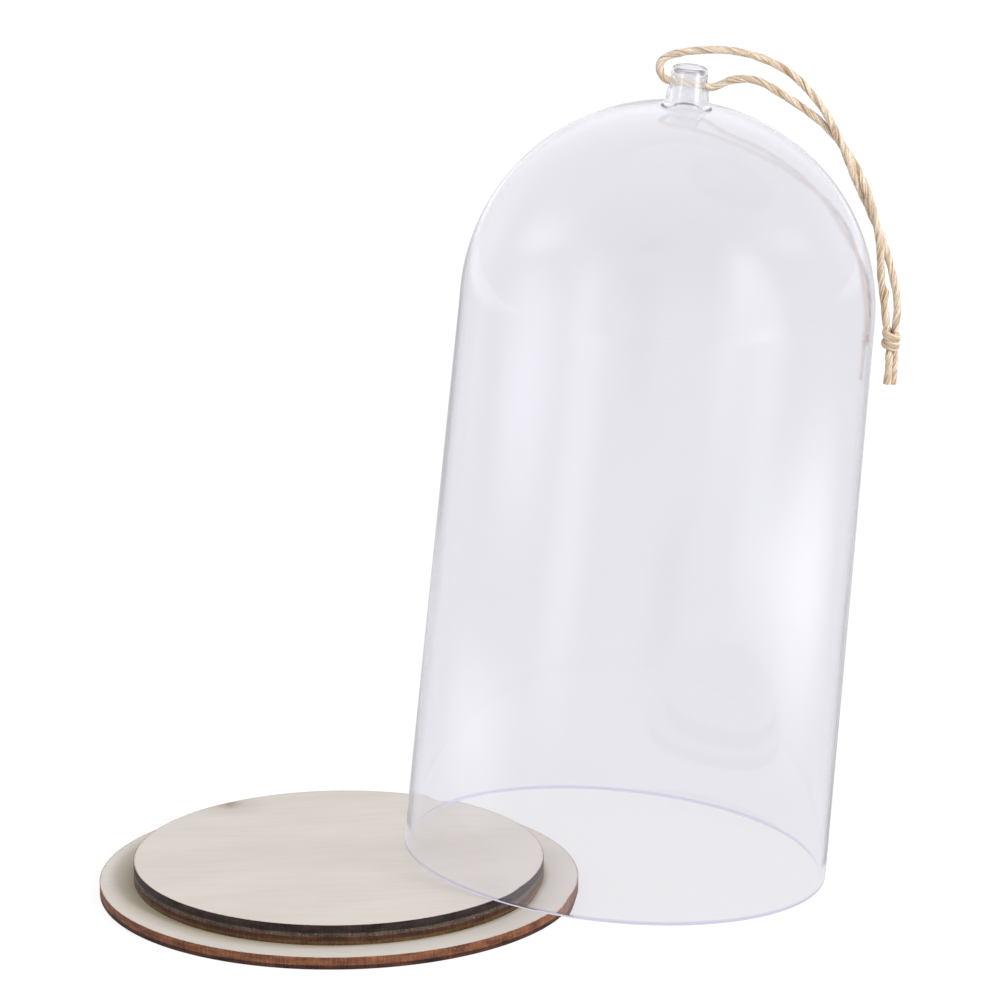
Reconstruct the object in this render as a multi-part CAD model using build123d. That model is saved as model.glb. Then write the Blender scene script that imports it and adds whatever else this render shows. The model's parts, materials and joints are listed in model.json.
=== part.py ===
from build123d import *
import math
import os

# Bell jar: a clear moulded dome with a twine hanging loop, leaning off its two-disc plywood base.
#
# Frame, in millimetres: the origin is the centre of the base disc's underside, +Z is up, and +X is
# the way the dome has been slid and leans. The dome's left rim rests over the plinth disc's edge and
# its right rim stands on the table.

# --- Driving dimensions ---------------------------------------------------------------------------

# Plywood base: two glued discs, each a stack of veneers.
VENEER = 1.0                 # thickness of one veneer
BASE_RADIUS = 57.5
BASE_PLIES = ("lower_face", "core", "upper_face")
PLINTH_RADIUS = 49.25
PLINTH_PLIES = ("lower_face", "lower_cross", "core", "upper_cross", "upper_face")

# Dome: a slightly tapered cylinder and a hemispherical cap. Heights are above the rim.
RIM_RADIUS = 51.0            # outside, at the open end
SHOULDER_RADIUS = 49.2       # outside, where the cap starts, and the cap's own radius
SHOULDER_HEIGHT = 137.0
WALL = 1.2                   # at the rim, thinning evenly to the cap's thickness at the shoulder
CAP_WALL = 1.0
RIM_ROUND = 0.3

# Boss on the crown: hollow from below and closed on top, with one hole through it for the twine.
BOSS_RADIUS = 5.3            # outside, where it meets the cap
BOSS_TOP_RADIUS = 4.15
BOSS_HEIGHT = 9.2            # above the cap's highest point
BOSS_TOP_ROUND = 0.9
BOSS_FOOT_ROUND = 1.2
CORE_RADIUS = 3.9            # the hollow, at the crown
CORE_TOP_RADIUS = 3.0
CORE_MOUTH_ROUND = 2.0       # keeps the wall about even at the boss's foot
CORE_ROOF_ROUND = 0.8
BOSS_ROOF = 1.3
TWINE_HOLE = 3.8             # diameter
TWINE_HOLE_HEIGHT = 5.6      # above the cap's highest point
TWINE_HOLE_TURN = -15.0      # degrees from +X to the hole's right-hand end, about the dome's axis

# How the dome leans.
DOME_OFFSET = 66.95          # from the base's axis to the rim's centre, along +X
LEAN_GAP = 0.12              # running gap under the rim, at the table and at the plinth's edge

# Twine: one length of jute in a loop through the boss, with both ends in one overhand knot.
TWINE = 1.8                  # diameter
KNOT_RADIUS = 2.3
KNOT_END_RADIUS = 1.9

# Routes are in the hole's own frame: along the hole to the right, across it to the back, and up the
# dome's axis, from the hole's centre. Both legs start face to face in the middle of the hole.
LONG_LEG = [
    (0.0, 0.0, -0.4),        # middle of the hole
    (-2.9, 0.0, -0.25),
    (-6.2, 0.0, -0.2),       # out of the left mouth
    (-7.6, 0.0, 3.4),        # folds back on itself
    (-5.6, 0.0, 5.7),
    (-0.4, 0.0, 7.4),        # over the boss
    (7.6, 0.0, 8.7),
    (15.8, 0.0, 8.0),
    (24.0, 0.0, 4.9),
    (30.4, 0.0, -0.8),       # meets the short leg and goes once round it
    (33.8, -0.3, -5.0),
    (37.8, -1.5, -11.2),
    (41.4, 0.0, -19.2),
    (46.4, 1.7, -26.6),
    (50.8, 0.5, -34.0),
    (53.0, 0.0, -41.4),      # stands off the short leg
    (54.5, 0.1, -48.0),
    (54.1, 0.3, -53.9),      # into the knot
]
SHORT_LEG = [
    (0.0, 0.0, -0.4),        # middle of the hole
    (2.9, 0.0, -0.55),
    (5.8, 0.0, -1.0),        # out of the right mouth
    (9.9, 0.0, 1.8),
    (15.8, 0.0, 2.5),
    (22.4, 0.0, -0.6),
    (31.0, 0.5, -5.3),
    (37.6, 1.5, -10.8),
    (43.9, 0.0, -18.4),
    (46.2, -1.7, -26.8),
    (48.2, -0.5, -34.2),
    (49.2, 0.0, -41.5),
    (50.9, -0.1, -48.3),
    (52.2, -0.3, -53.9),     # into the knot
]
KNOT_TOP = (53.1, 0.0, -53.6)
KNOT_BOTTOM = (53.8, 0.0, -59.1)
LONG_TAIL = [(54.5, 0.8, -58.9), (54.9, 0.9, -63.1), (54.8, 0.8, -67.2)]
SHORT_TAIL = [(53.3, -0.8, -58.9), (53.7, -0.9, -62.9), (53.6, -0.8, -66.9)]

# --- Worked out from the driving dimensions -------------------------------------------------------

BASE_HEIGHT = VENEER * len(BASE_PLIES)
PLINTH_TOP = BASE_HEIGHT + VENEER * len(PLINTH_PLIES)
RIM_INSIDE = RIM_RADIUS - WALL
CROWN = SHOULDER_HEIGHT + SHOULDER_RADIUS
BOSS_TOP = CROWN + BOSS_HEIGHT

# The rim's inner edge crosses the plinth's edge at this X. There it is as high as the plinth, and
# its right-hand end is on the table, which gives the lean.
REST_X = (DOME_OFFSET**2 + PLINTH_RADIUS**2 - RIM_INSIDE**2) / (2 * DOME_OFFSET)
LEAN = math.degrees(math.atan2(PLINTH_TOP, DOME_OFFSET + RIM_RADIUS - REST_X))
RIM_CENTRE_HEIGHT = RIM_RADIUS * math.sin(math.radians(LEAN)) + LEAN_GAP

DOME_FRAME = Location((DOME_OFFSET, 0, RIM_CENTRE_HEIGHT), (0, LEAN, 0))
HOLE_FRAME = DOME_FRAME * Pos(0, 0, CROWN + TWINE_HOLE_HEIGHT) * Rot(0, 0, TWINE_HOLE_TURN)


# --- Plywood base ---------------------------------------------------------------------------------

def veneers(radius, names, bottom):
    """A stack of flush veneer discs, as (name, solid), from the lowest to the highest."""
    centred_below = (Align.CENTER, Align.CENTER, Align.MIN)
    stack = []
    for level, name in enumerate(names):
        disc = Cylinder(radius, VENEER, align=centred_below)
        stack.append((name, Pos(0, 0, bottom + level * VENEER) * disc))
    return stack


# --- Dome -----------------------------------------------------------------------------------------

def on_cap(radius, at_radius):
    """The height above the rim of a cap surface of this radius, at a distance from the axis."""
    return SHOULDER_HEIGHT + math.sqrt(radius**2 - at_radius**2)


def cap_arc(radius, at_radius):
    """The cap's outline from the shoulder up to a distance from the axis, in the XZ plane."""
    halfway = math.radians(45)
    middle = (radius * math.cos(halfway), 0, SHOULDER_HEIGHT + radius * math.sin(halfway))
    return ThreePointArc((radius, 0, SHOULDER_HEIGHT), middle, (at_radius, 0, on_cap(radius, at_radius)))


def outline_face(*edges):
    """A flat face in the XZ plane, from the edges of its outline in order."""
    return make_face(Wire(edges), Plane.XZ)


def corner(face, radius, height):
    """The vertex of a face in the XZ plane nearest to a place on it."""
    return face.vertices().sort_by_distance((radius, 0, height))[0]


def dome_section():
    """Half of the dome's cross-section, through the middle of its wall and boss."""
    boss_foot = (BOSS_RADIUS, 0, on_cap(SHOULDER_RADIUS, BOSS_RADIUS))
    outside = outline_face(
        Line((0, 0, 0), (RIM_RADIUS, 0, 0)),
        Line((RIM_RADIUS, 0, 0), (SHOULDER_RADIUS, 0, SHOULDER_HEIGHT)),
        cap_arc(SHOULDER_RADIUS, BOSS_RADIUS),
        Line(boss_foot, (BOSS_TOP_RADIUS, 0, BOSS_TOP)),
        Line((BOSS_TOP_RADIUS, 0, BOSS_TOP), (0, 0, BOSS_TOP)),
        Line((0, 0, BOSS_TOP), (0, 0, 0)),
    )
    outside = fillet(corner(outside, *boss_foot[::2]), BOSS_FOOT_ROUND)
    outside = fillet(corner(outside, BOSS_TOP_RADIUS, BOSS_TOP), BOSS_TOP_ROUND)

    cap_inside = SHOULDER_RADIUS - CAP_WALL
    core_foot = (CORE_RADIUS, 0, on_cap(cap_inside, CORE_RADIUS))
    core_roof = BOSS_TOP - BOSS_ROOF
    inside = outline_face(
        Line((0, 0, 0), (RIM_INSIDE, 0, 0)),
        Line((RIM_INSIDE, 0, 0), (cap_inside, 0, SHOULDER_HEIGHT)),
        cap_arc(cap_inside, CORE_RADIUS),
        Line(core_foot, (CORE_TOP_RADIUS, 0, core_roof)),
        Line((CORE_TOP_RADIUS, 0, core_roof), (0, 0, core_roof)),
        Line((0, 0, core_roof), (0, 0, 0)),
    )
    inside = fillet(corner(inside, *core_foot[::2]), CORE_MOUTH_ROUND)
    inside = fillet(corner(inside, CORE_TOP_RADIUS, core_roof), CORE_ROOF_ROUND)
    section = outside - inside
    for rim_edge in (RIM_RADIUS, RIM_INSIDE):
        section = fillet(corner(section, rim_edge, 0), RIM_ROUND)
    return section


def dome():
    """The clear dome with its boss, standing on its rim at the origin."""
    shell = revolve(dome_section(), Axis.Z)
    hole = Pos(0, 0, CROWN + TWINE_HOLE_HEIGHT) * Rot(0, 0, TWINE_HOLE_TURN) * Rot(0, 90, 0)
    return shell - hole * Cylinder(TWINE_HOLE / 2, 4 * BOSS_RADIUS)


# --- Twine ----------------------------------------------------------------------------------------

def bend_radii(route):
    """For each corner of a route, the largest even arc that its two runs leave room for."""
    points = [Vector(*point) for point in route]
    radii = []
    for before, at, after in zip(points, points[1:], points[2:]):
        run_in = at - before
        run_out = after - at
        half_turn = math.radians(run_in.get_angle(run_out)) / 2
        radii.append(0.45 * min(run_in.length, run_out.length) / math.tan(half_turn))
    return radii


def twine(name, route):
    """A length of twine along a route, with its radii and its volume against its length printed."""
    radii = bend_radii(route)
    path = FilletPolyline(*route, radius=radii)
    section = Plane(path @ 0, z_dir=path % 0) * Circle(TWINE / 2)
    length = sweep(section, path=path)
    expected = math.pi * (TWINE / 2) ** 2 * path.length
    print(name, "length", round(path.length, 1), "volume over section times length",
          round(length.volume / expected, 4), "radii", [round(radius, 1) for radius in radii])
    return length


def knot():
    """The outer shape of the overhand knot, a barrel between its two ends."""
    axis = Vector(*KNOT_BOTTOM) - Vector(*KNOT_TOP)
    height = axis.length
    barrel = outline_face(
        Line((0, 0, 0), (KNOT_END_RADIUS, 0, 0)),
        ThreePointArc((KNOT_END_RADIUS, 0, 0), (KNOT_RADIUS, 0, height / 2), (KNOT_END_RADIUS, 0, height)),
        Line((KNOT_END_RADIUS, 0, height), (0, 0, height)),
        Line((0, 0, height), (0, 0, 0)),
    )
    return Plane(KNOT_TOP, z_dir=axis) * revolve(barrel, Axis.Z)


# --- The nodes ------------------------------------------------------------------------------------

nodes = {}
for ply, disc in veneers(BASE_RADIUS, BASE_PLIES, 0):
    nodes[f"base_{ply}_ply"] = disc
for ply, disc in veneers(PLINTH_RADIUS, PLINTH_PLIES, BASE_HEIGHT):
    nodes[f"plinth_{ply}_ply"] = disc
nodes["dome"] = DOME_FRAME * dome()
nodes["twine_long_leg"] = HOLE_FRAME * twine("long leg", LONG_LEG)
nodes["twine_short_leg"] = HOLE_FRAME * twine("short leg", SHORT_LEG)
nodes["twine_knot"] = HOLE_FRAME * knot()
nodes["twine_long_tail"] = HOLE_FRAME * twine("long tail", LONG_TAIL)
nodes["twine_short_tail"] = HOLE_FRAME * twine("short tail", SHORT_TAIL)

os.makedirs("parts", exist_ok=True)
for node, solid in nodes.items():
    solid.label = node
    export_step(solid, f"parts/{node}.step")

hole_centre = HOLE_FRAME.position
hole_right = (HOLE_FRAME * Pos(1, 0, 0)).position - hole_centre
print("lean", round(LEAN, 4), "hole centre", hole_centre, "hole direction", hole_right)
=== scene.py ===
import json
import math
import random

import bmesh
import bpy
import numpy as np
from bpy.props import FloatProperty, FloatVectorProperty, IntProperty, PointerProperty
from mathutils import Matrix, Vector, noise


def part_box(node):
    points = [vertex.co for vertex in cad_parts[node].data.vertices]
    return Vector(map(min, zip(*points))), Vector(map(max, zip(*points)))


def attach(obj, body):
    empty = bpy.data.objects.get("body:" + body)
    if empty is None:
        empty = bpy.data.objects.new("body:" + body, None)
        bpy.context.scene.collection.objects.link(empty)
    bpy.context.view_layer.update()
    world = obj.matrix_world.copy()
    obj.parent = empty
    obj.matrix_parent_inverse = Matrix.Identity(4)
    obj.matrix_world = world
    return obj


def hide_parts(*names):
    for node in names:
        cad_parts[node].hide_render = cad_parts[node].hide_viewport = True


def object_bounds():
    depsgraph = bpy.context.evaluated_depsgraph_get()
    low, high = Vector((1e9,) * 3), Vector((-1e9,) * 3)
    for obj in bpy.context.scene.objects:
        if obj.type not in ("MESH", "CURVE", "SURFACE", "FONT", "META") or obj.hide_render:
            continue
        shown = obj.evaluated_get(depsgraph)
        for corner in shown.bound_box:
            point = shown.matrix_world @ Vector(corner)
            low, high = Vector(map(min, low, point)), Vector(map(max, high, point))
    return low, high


bl_info = {
    "name": "Leaning Bell Jar",
    "version": (1, 0, 0),
    "blender": (4, 5, 0),
    "location": "3D View > Sidebar > Bell Jar",
    "description": "A clear display dome with a jute hanging loop, leaning off its laser-cut plywood base",
    "category": "Add Mesh",
}

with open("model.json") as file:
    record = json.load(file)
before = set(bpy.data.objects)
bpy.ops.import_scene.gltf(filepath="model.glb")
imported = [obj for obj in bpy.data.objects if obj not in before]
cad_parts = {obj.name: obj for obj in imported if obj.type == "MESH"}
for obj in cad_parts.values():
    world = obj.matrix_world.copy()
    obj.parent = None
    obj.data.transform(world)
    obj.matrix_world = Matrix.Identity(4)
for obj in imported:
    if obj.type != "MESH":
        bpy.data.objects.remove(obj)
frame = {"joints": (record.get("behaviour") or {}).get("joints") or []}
CAD_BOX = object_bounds()
SWING = next(joint for joint in frame["joints"] if joint["name"] == "twine_swing")

# --- The twine's route ----------------------------------------------------------------------------

# In metres, in the hole's frame: along the hole to the right, across it to the back, and up the
# dome's axis. Each leg runs from the middle of the hole to the knot.
LONG_LEG = (
    (0.0, 0.0, -0.0004),
    (-0.0029, 0.0, -0.00025),
    (-0.0062, 0.0, -0.0002),
    (-0.0076, 0.0, 0.0034),
    (-0.0056, 0.0, 0.0057),
    (-0.0004, 0.0, 0.0074),
    (0.0076, 0.0, 0.0087),
    (0.0158, 0.0, 0.0080),
    (0.0240, 0.0, 0.0049),
    (0.0304, 0.0, -0.0008),
    (0.0338, -0.0003, -0.0050),
    (0.0378, -0.0015, -0.0112),
    (0.0414, 0.0, -0.0192),
    (0.0455, 0.0017, -0.0266),
    (0.0496, 0.0009, -0.0340),
    (0.0526, 0.0001, -0.0414),
    (0.0543, 0.0001, -0.0480),
    (0.0541, 0.0003, -0.0539),
)
SHORT_LEG = (
    (0.0, 0.0, -0.0004),
    (0.0029, 0.0, -0.00055),
    (0.0058, 0.0, -0.0010),
    (0.0099, 0.0, 0.0018),
    (0.0158, 0.0, 0.0025),
    (0.0224, 0.0, -0.0006),
    (0.0310, 0.0005, -0.0053),
    (0.0370, 0.0015, -0.0108),
    (0.0430, 0.0, -0.0184),
    (0.0470, -0.0017, -0.0268),
    (0.0488, -0.0009, -0.0342),
    (0.0495, -0.0001, -0.0415),
    (0.0511, -0.0001, -0.0483),
    (0.0522, -0.0003, -0.0539),
)
# Inside the knot the two strands are drawn together, and past it they end in two short tails.
LONG_END = ((0.0540, 0.0003, -0.0563), (0.0545, 0.0008, -0.0589), (0.0549, 0.0009, -0.0631), (0.0548, 0.0008, -0.0672))
SHORT_END = ((0.0528, -0.0003, -0.0563), (0.0533, -0.0008, -0.0589), (0.0537, -0.0009, -0.0629), (0.0536, -0.0008, -0.0669))


# --- What a user would change ---------------------------------------------------------------------

def size(label, description, default):
    """A length property in metres."""
    return FloatProperty(name=label, description=description, default=default, min=0.0,
                         subtype="DISTANCE", unit="LENGTH", precision=5)


def colour(label, description, default):
    """A linear colour property."""
    return FloatVectorProperty(name=label, description=description, default=default, size=3,
                               min=0.0, max=1.0, subtype="COLOR")


class BellJarSizes(bpy.types.PropertyGroup):
    """Sizes of the pieces, all read by the operators when they run"""

    rim_radius: size("Rim radius", "Outside radius of the dome at its open end", 0.0510)
    shoulder_radius: size("Shoulder radius", "Outside radius of the dome's cap", 0.0492)
    shoulder_height: size("Shoulder height", "Height of the cap's start above the rim", 0.1370)
    wall: size("Wall", "Thickness of the dome's wall at the rim", 0.0012)
    cap_wall: size("Cap wall", "Thickness of the dome's cap", 0.0010)
    boss_radius: size("Boss radius", "Outside radius of the boss at its foot", 0.0053)
    boss_top_radius: size("Boss top radius", "Outside radius of the boss at its top", 0.00415)
    boss_height: size("Boss height", "Height of the boss above the crown", 0.0092)
    core_radius: size("Core radius", "Radius of the boss's hollow at its foot", 0.0039)
    core_top_radius: size("Core top radius", "Radius of the boss's hollow under its roof", 0.0030)
    boss_roof: size("Boss roof", "Thickness of plastic over the boss's hollow", 0.0013)
    hole_diameter: size("Hole diameter", "Diameter of the hole through the boss", 0.0038)
    hole_height: size("Hole height", "Height of the hole above the crown", 0.0056)
    twine: size("Twine diameter", "Diameter of the jute twine", 0.0018)
    twine_lay: size("Twine lay", "Length of one turn of the twine's two plies", 0.0105)
    loose_fibres: IntProperty(name="Loose fibres", description="How many fibres stand off the twine",
                              default=260, min=0, max=2000)


class BellJarFinishes(bpy.types.PropertyGroup):
    """Colours of the pieces"""

    plastic_face: colour("Plastic, face on", "Tint of each surface of the clear plastic seen face on",
                         (0.982, 0.980, 0.997))
    plastic_edge: colour("Plastic, edge on", "Tint of each surface of the clear plastic seen edge on",
                         (0.955, 0.945, 0.98))
    haze: colour("Haze", "Light scattered in the thick boss", (0.87, 0.86, 0.95))
    veneer: colour("Veneer", "Bare face veneer", (0.645, 0.60, 0.56))
    veneer_dark: colour("Veneer grain", "Darker lines of the face veneer", (0.56, 0.505, 0.45))
    char_black: colour("Char, black", "Hardest burnt edge", (0.022, 0.013, 0.014))
    char_red: colour("Char, red", "Red-brown burnt edge", (0.115, 0.044, 0.027))
    char_orange: colour("Char, orange", "Lightly burnt edge", (0.31, 0.125, 0.062))
    jute: colour("Jute", "Middle tone of the twine", (0.62, 0.475, 0.335))
    jute_light: colour("Jute, light", "Bleached fibres", (0.88, 0.775, 0.635))
    jute_dark: colour("Jute, dark", "Shadowed and brown fibres", (0.33, 0.20, 0.11))


class BellJarStage(bpy.types.PropertyGroup):
    """Camera, floor and light"""

    azimuth: FloatProperty(name="Azimuth", description="Camera's bearing, to the right of the front",
                           default=math.radians(-7.124), subtype="ANGLE", unit="ROTATION")
    elevation: FloatProperty(name="Elevation", description="Camera's height as an angle",
                             default=math.radians(16.560), subtype="ANGLE", unit="ROTATION")
    roll: FloatProperty(name="Roll", description="Camera's roll about its view",
                        default=math.radians(-0.404), subtype="ANGLE", unit="ROTATION")
    distance: size("Distance", "From the camera to the point that it aims at", 1.8378)
    aim: FloatVectorProperty(name="Aim", description="Point that the camera looks at",
                             default=(0.039613, 0.0, 0.095493), size=3, subtype="TRANSLATION", unit="LENGTH")
    lens: FloatProperty(name="Lens", description="Focal length in millimetres", default=278.6, min=10.0)
    floor_glow: FloatProperty(name="Floor glow", description="How much the white floor lights itself",
                              default=0.66, min=0.0, max=2.0)
    floor_white: FloatProperty(name="Floor white", description="Extra white where the camera sees the bare floor",
                               default=0.20, min=0.0, max=2.0)
    room: FloatProperty(name="Room light", description="Strength of the even light of the room",
                        default=0.92, min=0.0, max=5.0)


# --- Node materials -------------------------------------------------------------------------------

def new_material(name):
    """An empty node material, and its tree with only an output in it."""
    material = bpy.data.materials.new(name)
    material.use_nodes = True
    material.node_tree.nodes.clear()
    material.node_tree.nodes.new("ShaderNodeOutputMaterial")
    return material, material.node_tree


def node(tree, kind, inputs=(), **settings):
    """Add a node with its settings, and fill its inputs with values or other nodes' outputs."""
    made = tree.nodes.new(kind)
    for name, value in settings.items():
        setattr(made, name, value)
    for name, value in dict(inputs).items():
        if isinstance(value, bpy.types.NodeSocket):
            tree.links.new(value, made.inputs[name])
        else:
            made.inputs[name].default_value = value
    return made


def finish_tree(tree, shader):
    """Send a shader to the material's output."""
    output = next(n for n in tree.nodes if n.type == "OUTPUT_MATERIAL")
    tree.links.new(shader.outputs[0], output.inputs["Surface"])


def rgba(rgb):
    return (*rgb, 1.0)


def ramp(tree, factor, stops):
    """A colour ramp over (place, colour) stops."""
    made = node(tree, "ShaderNodeValToRGB", {"Fac": factor})
    elements = made.color_ramp.elements
    while len(elements) < len(stops):
        elements.new(0.5)
    for element, (place, rgb) in zip(elements, stops):
        element.position = place
        element.color = rgba(rgb)
    return made.outputs["Color"]


def blend_colours(tree, factor, first, second, how="MIX"):
    """Two colours mixed; each may be a colour or a socket."""
    made = node(tree, "ShaderNodeMix", data_type="RGBA", blend_type=how)
    for index, value in ((0, factor), (6, first), (7, second)):
        if isinstance(value, bpy.types.NodeSocket):
            tree.links.new(value, made.inputs[index])
        else:
            made.inputs[index].default_value = value if index == 0 else rgba(value)
    return made.outputs[2]


def stretched_noise(tree, coordinate, scale, detail=3.0, roughness=0.55, distortion=0.0):
    """Noise over a coordinate stretched by a scale for each axis."""
    mapping = node(tree, "ShaderNodeMapping", {"Vector": coordinate, "Scale": scale})
    made = node(tree, "ShaderNodeTexNoise", {
        "Vector": mapping.outputs["Vector"], "Scale": 1.0, "Detail": detail,
        "Roughness": roughness, "Distortion": distortion})
    return made.outputs["Fac"]


def arithmetic(tree, operation, first, second):
    made = node(tree, "ShaderNodeMath", operation=operation)
    for socket, value in zip(made.inputs, (first, second)):
        if isinstance(value, bpy.types.NodeSocket):
            tree.links.new(value, socket)
        else:
            socket.default_value = value
    return made.outputs[0]


def clear_plastic(looks, boss, foot, up):
    """Crystal-clear moulded plastic, a little lilac edge on, with a painted dark lilac line of shade just above the
    rim, and hazier in the boss.

    boss is the middle of the boss and foot is the middle of the rim, in the object's own place, and
    up is along the dome's axis.
    """
    material, tree = new_material("clear_plastic")
    place = node(tree, "ShaderNodeTexCoord").outputs["Object"]
    facing = node(tree, "ShaderNodeLayerWeight", {"Blend": 0.5}).outputs["Facing"]
    tint = ramp(tree, facing, [(0.0, looks.plastic_face), (0.72, looks.plastic_face), (1.0, looks.plastic_edge)])
    risen = node(tree, "ShaderNodeVectorMath", {0: place, 1: tuple(up)}, operation="DOT_PRODUCT").outputs["Value"]
    above_rim = arithmetic(tree, "MULTIPLY", arithmetic(tree, "SUBTRACT", risen, foot.dot(up)), 400.0)
    # Painted shade: a darker lilac tint in a narrow band just above the rim draws the dark line seen along the rim.
    painted_rim_line = ramp(tree, above_rim, [(0.20, (1.0, 1.0, 1.0)), (0.45, (0.0, 0.0, 0.0))])
    tint = blend_colours(tree, painted_rim_line, tint, (0.86, 0.84, 0.93))
    flow = stretched_noise(tree, place, (38.0, 38.0, 9.0), detail=1.0)
    moulded = node(tree, "ShaderNodeBump", {"Height": flow, "Strength": 0.22, "Distance": 0.0006})
    glass = node(tree, "ShaderNodeBsdfGlass", {
        "Color": tint, "Roughness": 0.02, "IOR": 1.5, "Normal": moulded.outputs["Normal"]})
    cloudy = node(tree, "ShaderNodeBsdfTranslucent", {"Color": rgba(looks.haze)})
    from_boss = node(tree, "ShaderNodeVectorMath", {0: place, 1: tuple(boss)}, operation="DISTANCE").outputs["Value"]
    haze = ramp(tree, arithmetic(tree, "MULTIPLY", from_boss, 50.0),
                [(0.22, (0.09, 0.09, 0.09)), (0.42, (0.006, 0.006, 0.006))])
    hazy = node(tree, "ShaderNodeMixShader", {"Fac": haze})
    tree.links.new(glass.outputs[0], hazy.inputs[1])
    tree.links.new(cloudy.outputs[0], hazy.inputs[2])
    gloss = node(tree, "ShaderNodeBsdfGlossy", {"Color": (1.0, 1.0, 1.0, 1.0), "Roughness": 0.06})
    polished = node(tree, "ShaderNodeMixShader", {"Fac": arithmetic(tree, "MULTIPLY", haze, 2.4)})
    tree.links.new(hazy.outputs[0], polished.inputs[1])
    tree.links.new(gloss.outputs[0], polished.inputs[2])
    shade = ramp(tree, facing, [(0.0, (0.99, 0.99, 0.993)), (0.80, (0.97, 0.97, 0.975)), (1.0, (0.50, 0.49, 0.53))])
    passing = node(tree, "ShaderNodeBsdfTransparent", {"Color": shade})
    rays = node(tree, "ShaderNodeLightPath").outputs
    lighting = arithmetic(tree, "MAXIMUM", rays["Is Shadow Ray"], rays["Is Diffuse Ray"])
    mixed = node(tree, "ShaderNodeMixShader", {"Fac": lighting})
    tree.links.new(polished.outputs[0], mixed.inputs[1])
    tree.links.new(passing.outputs[0], mixed.inputs[2])
    finish_tree(tree, mixed)
    return material


def jute_fibre(looks):
    """Jute: long pale and brown fibres that follow the twine's plies, with painted shade in the crease between the
    plies.
    """
    material, tree = new_material("jute_fibre")
    fibre = node(tree, "ShaderNodeAttribute", attribute_name="fibre").outputs["Vector"]
    long_streak = stretched_noise(tree, fibre, (2.2, 2.2, 90.0), detail=3.0)
    fine_streak = stretched_noise(tree, fibre, (9.0, 9.0, 420.0), detail=4.0, roughness=0.7)
    patches = stretched_noise(tree, fibre, (0.5, 0.5, 160.0), detail=2.0)
    crease_shade = node(tree, "ShaderNodeAttribute", attribute_name="crease_shade").outputs["Fac"]
    body = ramp(tree, long_streak, [(0.36, looks.jute_dark), (0.48, looks.jute), (0.60, looks.jute_light)])
    streaks = ramp(tree, fine_streak, [(0.36, (0.52, 0.40, 0.30)), (0.50, (1.0, 1.0, 1.0)), (0.64, (1.35, 1.33, 1.30))])
    # Painted shade: the twine goes darker in the crease between its plies.
    shaded = blend_colours(tree, crease_shade, body, looks.jute_dark)
    colour_streaked = blend_colours(tree, 0.85, shaded, streaks, "MULTIPLY")
    flecks = stretched_noise(tree, fibre, (3.5, 3.5, 1500.0), detail=2.0)
    colour_streaked = blend_colours(tree, ramp(tree, flecks, [(0.58, (0.0, 0.0, 0.0)), (0.68, (0.75, 0.75, 0.75))]),
                                    colour_streaked, looks.jute_dark)
    washed = blend_colours(tree, ramp(tree, patches, [(0.42, (0.0, 0.0, 0.0)), (0.68, (0.45, 0.45, 0.45))]),
                           colour_streaked, looks.jute_light)
    height = arithmetic(tree, "ADD", fine_streak, arithmetic(tree, "MULTIPLY", long_streak, 0.6))
    bump = node(tree, "ShaderNodeBump", {"Height": height, "Strength": 0.7, "Distance": 0.00016})
    surface = node(tree, "ShaderNodeBsdfPrincipled", {
        "Base Color": washed, "Roughness": 0.86, "Specular IOR Level": 0.2, "Sheen Weight": 0.25,
        "Sheen Roughness": 0.6, "Normal": bump.outputs["Normal"]})
    finish_tree(tree, surface)
    return material


def disc_coordinates(tree):
    """Where a point is on a disc: its place, its height, its distance from the axis and its bearing."""
    place = node(tree, "ShaderNodeTexCoord").outputs["Object"]
    parts = node(tree, "ShaderNodeSeparateXYZ", {"Vector": place}).outputs
    flat = node(tree, "ShaderNodeCombineXYZ", {"X": parts["X"], "Y": parts["Y"]}).outputs[0]
    radius = node(tree, "ShaderNodeVectorMath", {"Vector": flat}, operation="LENGTH").outputs["Value"]
    bearing = arithmetic(tree, "ARCTAN2", parts["Y"], parts["X"])
    return place, parts["Z"], radius, bearing


# A scorch mark where the laser paused at the back-left edge of the plinth.
SCORCH_PLACE = (-0.0225, 0.0425, 0.008)
SCORCH_REACH = 0.012


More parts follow.
